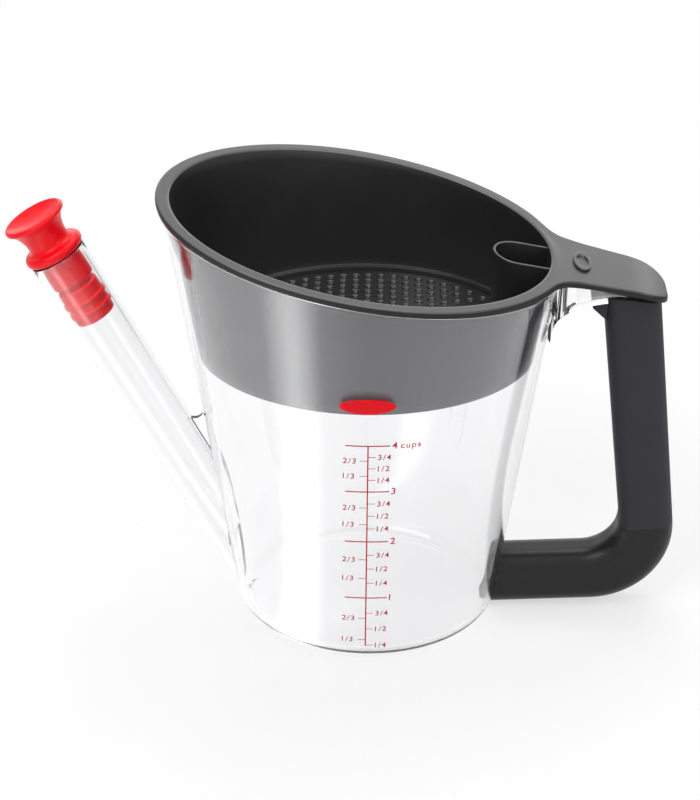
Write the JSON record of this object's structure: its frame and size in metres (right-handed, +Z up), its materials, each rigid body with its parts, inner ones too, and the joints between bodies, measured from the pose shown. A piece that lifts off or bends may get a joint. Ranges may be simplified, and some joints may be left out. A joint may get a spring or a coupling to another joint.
{
  "type": "gravy fat separator",
  "caption": "Clear oval measuring jug that pours from its floor through a slanted stoppered spout, with a drop-in strainer and a soft-grip handle.",
  "frame": {"origin": "middle of the flat face that the jug stands on", "axes": "+X towards the handle, +Y to the flank without printed marks, +Z up"},
  "size_m": [0.2579, 0.1328, 0.1795],
  "materials": {
    "clear_plastic": "clear moulded plastic, polished",
    "strainer_plastic": "dark grey moulded plastic, finely grained on top",
    "stopper_rubber": "red silicone, satin",
    "handle_plastic": "black moulded plastic, satin",
    "grip_rubber": "dark grey soft rubber, matte",
    "screw_steel": "plain steel"
  },
  "bodies": {
    "jug": {"clear_jug": "clear_plastic", "handle_core": "handle_plastic", "soft_grip": "grip_rubber", "handle_screw": "screw_steel"},
    "strainer": {"strainer_basket": "strainer_plastic", "straining_floor": "strainer_plastic"},
    "stopper": {"spout_stopper": "stopper_rubber"}
  },
  "joints": [
    {"name": "strainer_lift", "type": "slide", "parent": "jug", "child": "strainer", "axis": [0, 0, 1], "range_m": [0, 0.08]},
    {"name": "stopper_pull", "type": "slide", "parent": "jug", "child": "stopper", "axis": [-0.4672, 0, 0.8842], "range_m": [0, 0.045]}
  ]
}
